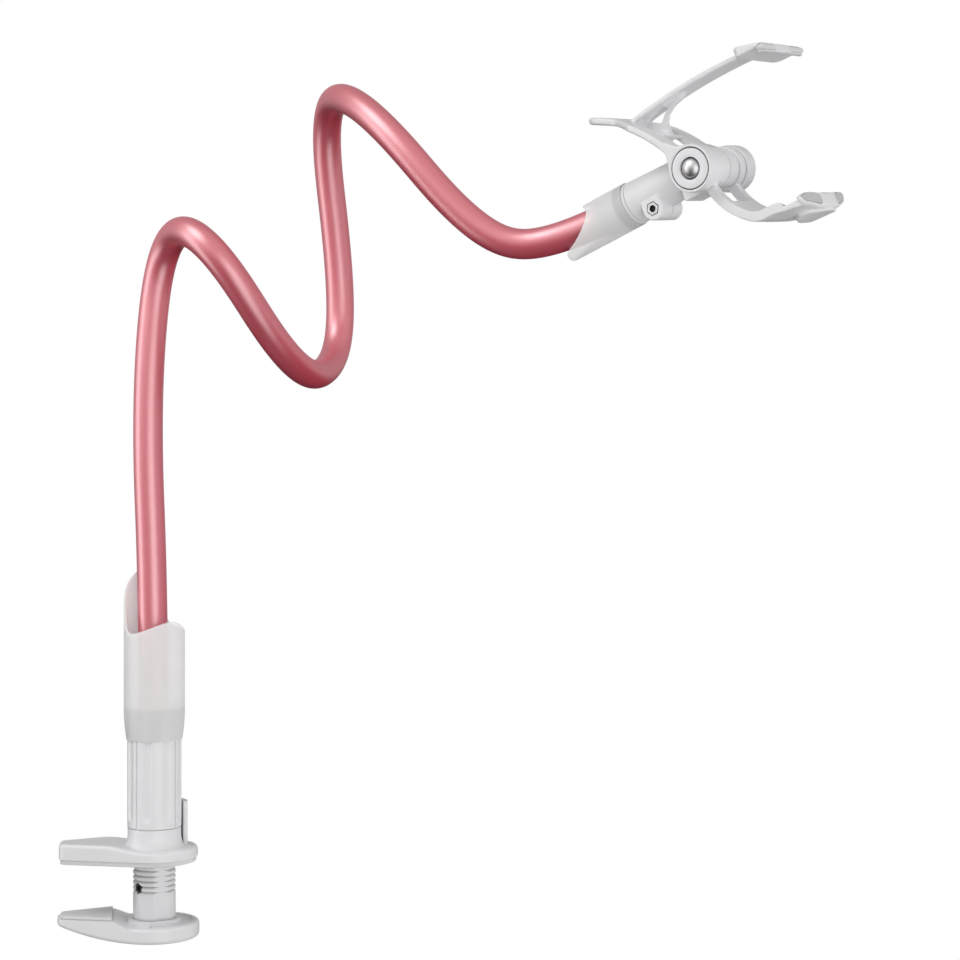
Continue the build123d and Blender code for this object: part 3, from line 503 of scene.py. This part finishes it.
# %% Sleeve maker
def skinned(net, rings, closed):
    """Join neighbouring rings of points with faces and make a smooth mesh of them."""
    count = len(rings[0])
    for ring_a, ring_b in zip(rings, rings[1:] + rings[:1]):
        for k in range(count if closed else count - 1):
            after = (k + 1) % count
            corners = (ring_a[k], ring_b[k], ring_b[after], ring_a[after])
            net.faces.new(list(dict.fromkeys(corners)))
    bmesh.ops.recalc_face_normals(net, faces=net.faces)
    mesh = mesh_from(net)
    mesh.shade_smooth()
    return mesh


def sleeve(base, across, side, axis, foot, grip_top, grip_shade, rim_stops, outside, inside):
    """A tube wall on an axis, in millimetres, with rounded edges and a rim that follows its stops."""
    columns, grip_fade = 240, 1.6
    net = bmesh.new()
    outer_skin = net.verts.layers.float.new("outer_skin")
    shade_band = net.verts.layers.float.new("shade_band")
    rings = []
    for column in range(columns):
        angle = 360 * column / columns
        out = across * cos(radians(angle)) + side * sin(radians(angle))
        ring = []
        for radius, height, share in wall_outline(foot, rim_height(rim_stops, angle), outside, inside):
            corner = net.verts.new((base + out * radius + axis * height) * mm)
            corner[outer_skin] = share
            # painted shade: the band greys the sleeve below the top of the moulding that it covers
            corner[shade_band] = grip_shade * ease((grip_top - height) / grip_fade)
            ring.append(corner)
        rings.append(ring)
    return skinned(net, rings, closed=True)


# %% [markdown]
# The lower sleeve grips the top of the handle. Its hem is drawn in a little, its mouth is lowest at the front
# left, rises to a lip at the front right, and stands up in a round-ended tongue behind the arm on the left. A
# short list of heights round the mouth is the easiest way to draw that.

# %% Lower sleeve
def lower_outside(height):
    hem_radius, swell, swell_from, swell_length = 13.1, 1.3, 57.5, 15
    share = clamped((height - swell_from) / swell_length)
    return hem_radius + swell * share * (2 - share)


lower_rim = [
    (0, 109.5), (40, 109.5), (70, 112.5), (88, 125.0), (104, 135.2), (122, 137.3), (138, 136.0),
    (158, 132.0), (180, 125.6), (196, 117.0), (210, 110.2), (226, 108.0), (250, 108.8), (290, 112.2),
    (314, 113.4), (338, 112.0),
]
lower_bore = 12.85
lower_mesh = sleeve(
    Vector((0, 0, 0)), Vector((1, 0, 0)), Vector((0, 1, 0)), Vector((0, 0, 1)),
    foot=57.9, grip_top=73.6, grip_shade=0.6, rim_stops=lower_rim,
    outside=lower_outside, inside=lambda height: lower_bore,
)
settle("soft_lower_sleeve", lower_mesh, milky_silicone, "handle", "milky_silicone", "lower_sleeve")

# %% [markdown]
# The upper sleeve is pushed over the end collar, where it is stretched thin, and covers the joint with the
# arm. It is cut the same way, with the long tongue underneath and a short lip on top, and leaves a curved
# notch on both sides where the arm comes out. Its axis is the head's own, and its heights run back along it,
# towards the arm.

# %% Upper sleeve
forward = Vector((0.740016, -0.578164, 0.34366))
near = Vector((-0.578069, -0.807922, -0.114447))
upward = near.cross(forward)
barrel = Vector((255.037, -86.681, 318.61))
sleeve_start = 50


def upper_inside(height):
    arm_bore, collar_step, step_from, step_length = 8.75, 1.03, 1.8, 1.4
    return arm_bore + collar_step * ease((step_from - height) / step_length)


upper_rim = [
    (0, 14.5), (28, 11.5), (58, 13.5), (90, 16.2), (122, 13.5), (152, 11.5), (180, 14.5), (205, 21.0),
    (228, 29.0), (250, 31.0), (270, 31.4), (290, 31.0), (312, 29.0), (335, 21.0),
]
upper_radius = 10.25
upper_mesh = sleeve(
    barrel - forward * sleeve_start, near, upward, forward * -1,
    foot=-7.4, grip_top=-2.2, grip_shade=0.9, rim_stops=upper_rim,
    outside=lambda height: upper_radius, inside=upper_inside,
)
settle("soft_upper_sleeve", upper_mesh, milky_silicone, "post", "milky_silicone", "upper_sleeve")

# %% [markdown]
# Moulded pads have no knife edges: the tool leaves a small radius on every corner, and that radius is what
# catches the light. Drawing it point by point would be slow. A copy of each node is welded instead, its flat
# faces are joined up, and a bevel rounds the edges.

# %% Rounded copies of the pads
def welded_host(name, join_flats):
    """Link a copy of a node with its loose triangles merged, ready for modifiers."""
    net = bmesh.new()
    net.from_mesh(nodes[name].data)
    bmesh.ops.remove_doubles(net, verts=net.verts, dist=0.002 * mm)
    if join_flats:
        bmesh.ops.dissolve_limit(net, angle_limit=radians(1.0), verts=net.verts, edges=net.edges)
    host = bpy.data.objects.new(name + "_copy", mesh_from(net))
    scene_objects.link(host)
    return host


def rounded_copy(name, finish, slot, width):
    """Stand a copy with rounded edges in for a node."""
    host = welded_host(name, join_flats=True)
    edge = host.modifiers.new("edge", "BEVEL")
    edge.limit_method = "ANGLE"
    edge.angle_limit = radians(32)
    edge.width = width * mm
    edge.segments = 2
    edge.use_clamp_overlap = True
    done = finished_mesh(host)
    done.shade_smooth()
    done.set_sharp_from_angle(angle=radians(40))
    bpy.data.objects.remove(host)
    settle("rounded_" + name, done, finish, nodes[name]["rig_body"], slot, name)


for name in ("upper_jaw_pad", "lower_jaw_pad", "upper_pad_near", "upper_pad_far"):
    rounded_copy(name, pale_rubber, "grey_rubber", width=0.35)

# %% [markdown]
# The lower claw's floor curves up to both sides like a saddle, and its lip is bowed forward in the middle and
# runs out into those sides like a leaf. A function that moves points does that, so that the same bend can be
# laid on the claw and on its grips. It works in the clip's own directions: ahead, up and to the side.

# %% Bend of the lower claw
hub = Vector((256, -87, 316))
lean = radians(2.1)
clip_x = forward * cos(lean) - upward * sin(lean)
clip_y = upward * cos(lean) + forward * sin(lean)
lip_front, lip_floor, lip_half = 44.1, -33.9, 20.0
claw_length, claw_height = 28, 7
side_rise, rise_run, flat_half, slope_width = 2.7, 12, 5, 15
lip_bow, lip_depth, lip_run, lip_drop, end_drop = 2.6, 12, 10, 0.14, 0.72


def leaf_bend(spot):
    """Raise the lower claw's sides, bow its lip forward in the middle and run it out at both ends."""
    reach = spot / mm - hub
    ahead, height, side = reach.dot(clip_x), reach.dot(clip_y), abs(reach.dot(near))
    if ahead < lip_front - claw_length or height > lip_floor + claw_height:
        return spot
    end = min(side / lip_half, 1)
    grow_up = ease((ahead - lip_front + claw_length) / rise_run)
    rise = side_rise * grow_up * ease((side - flat_half) / slope_width)
    grow = ease((ahead - lip_front + lip_depth) / lip_run)
    drop = max(height - lip_floor, 0) * (lip_drop + end_drop * end * end * end)
    return spot + (clip_x * lip_bow * grow * (1 - end * end) + clip_y * (rise - drop * grow)) * mm


print("claw bend", side_rise, "mm up,", lip_bow, "mm forward")

# %% [markdown]
# The clip's two levers are the most sculpted mouldings, with every edge drawn soft. A bevel fails where many
# faces meet, so their copies are remeshed in small voxels and relaxed a little, which rounds all edges alike.

# %% Soft-edged levers
def soft_copy(name, finish, slot, voxel, rounds, bend=None):
    """Stand a remeshed and relaxed copy in for a node, bent if a bend is given."""
    host = welded_host(name, join_flats=False)
    grid = host.modifiers.new("grid", "REMESH")
    grid.mode = "VOXEL"
    grid.voxel_size = voxel * mm
    relax = host.modifiers.new("relax", "SMOOTH")
    relax.factor = 0.5
    relax.iterations = rounds
    done = finished_mesh(host)
    bpy.data.objects.remove(host)
    if bend:
        for vertex in done.vertices:
            vertex.co = bend(vertex.co)
    done.shade_smooth()
    settle("soft_" + name, done, finish, nodes[name]["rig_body"], slot, name)


soft_copy("upper_lever", white_plastic, "white_plastic", voxel=0.38, rounds=8)
soft_copy("lower_lever", white_plastic, "white_plastic", voxel=0.33, rounds=8, bend=leaf_bend)
for name in ("lower_pad_near", "lower_pad_far"):
    soft_copy(name, grey_rubber, "grey_rubber", voxel=0.2, rounds=4, bend=leaf_bend)

# %% [markdown]
# A ring cover is pressed into each end of the hinge round the pin, whose ends are turned to bright domes. A
# lathe made all three, so a profile turned about the hinge is the natural way to draw them, with a fine
# shadow gap left on both sides of each cover. The domes start below the covers' faces, so they look like
# balls that are set in.

# %% Hinge covers and pin
def turned(centre, axis, profile, steps, closed):
    """Turn a (radius, height) profile in millimetres; an open one starts and ends on the axis."""
    across = axis.orthogonal().normalized()
    side = axis.cross(across)
    net = bmesh.new()
    poles = {k: net.verts.new((centre + axis * h) * mm) for k, (r, h) in enumerate(profile) if r == 0}
    rings = []
    for step in range(steps):
        swing = 2 * pi * step / steps
        out = across * cos(swing) + side * sin(swing)
        rings.append([
            poles.get(k) or net.verts.new((centre + out * r + axis * h) * mm)
            for k, (r, h) in enumerate(profile)
        ])
    mesh = skinned(net, rings, closed)
    mesh.set_sharp_from_angle(angle=radians(35))
    return mesh


cover = [
    (4.85, 18.5), (8.62, 18.5), (8.62, 20.05), (8.5, 20.33), (8.2, 20.45), (5.2, 20.45), (4.95, 20.35),
    (4.85, 20.1),
]
for name, axis in (("hinge_cap_near", near), ("hinge_cap_far", near * -1)):
    ring_mesh = turned(hub, axis, cover, steps=96, closed=True)
    settle("turned_" + name, ring_mesh, white_plastic, nodes[name]["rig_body"], "white_plastic", name)
dome_radius, dome_foot, dome_rise, shaft_radius = 4.4, 18.6, 3.5, 3.0
swings = [radians(10 * k) for k in range(9)]
dome = [(dome_radius * cos(a), dome_foot + dome_rise * sin(a)) for a in swings] + [(0, dome_foot + dome_rise)]
shaft = [(shaft_radius, dome_foot), (shaft_radius, -dome_foot)]
pin_profile = dome[::-1] + shaft + [(r, -h) for r, h in dome]
pin_mesh = turned(hub, near, pin_profile, steps=64, closed=False)
settle("domed_pin", pin_mesh, satin_steel, nodes["hinge_pin"]["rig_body"], "steel", "hinge_pin")

# %% [markdown]
# The nut that clamps the connector sits loosely in its pocket, with a dark gap all round. Its shape is right,
# so a copy is enough, with the points outside its bore drawn in by a tenth.

# %% Connector nut
bore_edge, shrink = 2.2 * mm, 0.1
nut_mesh = nodes["connector_nut"].data.copy()
nut_middle = sum((vertex.co for vertex in nut_mesh.vertices), Vector()) / len(nut_mesh.vertices)
for vertex in nut_mesh.vertices:
    offset = vertex.co - nut_middle
    outward = offset - near * offset.dot(near)
    if outward.length > bore_edge:
        vertex.co -= outward * shrink
settle("loose_nut", nut_mesh, bright_steel, nodes["connector_nut"]["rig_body"], "steel", "connector_nut")

# %% [markdown]
# The other rigid nodes keep their shapes, which are right as they are, and only take a finish in their
# material slots.

# %% Finishes on the rigid pieces
finishes = {
    white_plastic: ("lower_jaw", "end_collar", "connector_shell_near", "connector_shell_far"),
    clamp_plastic: ("upper_jaw", "clamp_handle"),
    threaded_plastic: ("clamp_post",),
    bright_steel: ("torsion_spring", "post_screw"),
    # painted shade: the bolts and the arm nut are near black to stand for dark holes
    hole_shade_steel: ("connector_bolt", "arm_bolt", "arm_nut"),
}
for finish, names in finishes.items():
    for name in names:
        for entry in nodes[name].material_slots:
            entry.material = finish
    print(finish.name, "on", len(names), "nodes")

# %% [markdown]
# A plain pale floor lies under the clamp and fades out into white, so the picture has no horizon. A wide
# white floor would need far more light to look white. To the camera alone this one adds a little light of its
# own, which lifts it to white outside the shadow.

# %% Floor
floor_middle, floor_radius = (0.13, -0.01, -0.1), 0.9
fade_from, fade_to, camera_lift = 0.08, 0.21, 0.3
floor_net = bmesh.new()
bmesh.ops.create_circle(floor_net, cap_ends=True, segments=96, radius=floor_radius)
bmesh.ops.translate(floor_net, verts=floor_net.verts, vec=floor_middle)
floor = bpy.data.objects.new("floor", mesh_from(floor_net))
floor.visible_glossy = False
scene_objects.link(floor)
pale = Finish("pale_floor")
offset = pale.node(
    "ShaderNodeVectorMath", {"operation": "SUBTRACT"}, {"Vector": pale.place(), "Vector_001": floor_middle},
)
reach = pale.node("ShaderNodeVectorMath", {"operation": "LENGTH"}, {"Vector": offset}, out="Value")
fade = pale.smooth_step(reach, fade_from, fade_to)
matt = pale.node("ShaderNodeBsdfDiffuse", None, {"Color": grey(0.9)})
looked_at = pale.node("ShaderNodeLightPath", out="Is Camera Ray")
lift = pale.node("ShaderNodeEmission", None, {"Color": grey(1), "Strength": camera_lift * looked_at})
lifted = pale.node("ShaderNodeAddShader", None, {"Shader": matt, "Shader_001": lift})
clear = pale.node("ShaderNodeBsdfTransparent")
mixed = pale.node("ShaderNodeMixShader", None, {"Fac": fade, "Shader": lifted, "Shader_001": clear})
pale.node("ShaderNodeOutputMaterial", None, {"Surface": mixed})
floor.data.materials.append(pale.material)
print("floor at", floor_middle[2])

# %% [markdown]
# The room gives a dim even light. In reflections it is brighter in front than behind and goes dark just below
# the horizon, which is what darkens the arm's rims and undersides. A photographed studio would give that too,
# but two smooth steps along the direction looked in are enough. The camera itself sees plain white.

# %% World
world = bpy.data.worlds.new("studio")
bpy.context.scene.world = world
world.use_nodes = True
studio = Tree(world.node_tree)
direction = studio.node("ShaderNodeTexCoord", out="Generated")


def along(axis):
    """How far the direction looked in points along one axis."""
    return studio.node("ShaderNodeSeparateXYZ", None, {"Vector": direction}, out=axis)


def ray(kind):
    return studio.node("ShaderNodeLightPath", out=kind)


even_light = 0.3
above = studio.smooth_step(along("Z"), low=-0.25, high=0.0)
in_front = studio.smooth_step(along("Y"), low=-0.2, high=0.5, at_low=0.8, at_high=0.4)
room = above * in_front
seen = ray("Is Camera Ray") + ray("Is Transmission Ray")
seen.socket.node.use_clamp = True
level = seen + (1.0 - seen) * (even_light + ray("Is Glossy Ray") * (room - even_light))
air = studio.node("ShaderNodeBackground", None, {"Color": grey(1), "Strength": level})
studio.node("ShaderNodeOutputWorld", None, {"Surface": air})
print("world", world.name, "nodes", len(studio.tree.nodes))

# %% [markdown]
# Large soft lamps stand above, in front and on both sides, as in a small studio. Mirrored in the lacquer they
# are the pale streaks along the arm, so the left strip, which makes the sharpest streak, shows only in
# reflections, and the two fills, which only soften the shadows, show in none.

# %% Lamps
lamp_aim = Vector((0.12, 0, 0.2))


def softbox(name, place, width, height, power):
    """A rectangular lamp in metres and watts, turned to the holder's middle."""
    data = bpy.data.lights.new(name, "AREA")
    data.shape = "RECTANGLE"
    data.size = width
    data.size_y = height
    data.energy = power
    lamp = bpy.data.objects.new(name, data)
    lamp.location = place
    lamp.rotation_euler = (lamp_aim - Vector(place)).to_track_quat("-Z", "Y").to_euler()
    scene_objects.link(lamp)
    print("lamp", name, power, "W")
    return lamp


softbox("key", (-0.75, -0.6, 1.25), width=0.9, height=0.9, power=10)
softbox("front", (0.75, -1.24, -0.15), width=1.1, height=1.75, power=12)
softbox("left_strip", (-1.27, -0.25, 0.1), width=0.7, height=1.5, power=8).visible_diffuse = False
softbox("right_fill", (1.3, 0.3, 0.45), width=0.8, height=1.3, power=5).visible_glossy = False
softbox("left_fill", (-1.25, -0.35, 0.2), width=1.0, height=1.3, power=2.6).visible_glossy = False
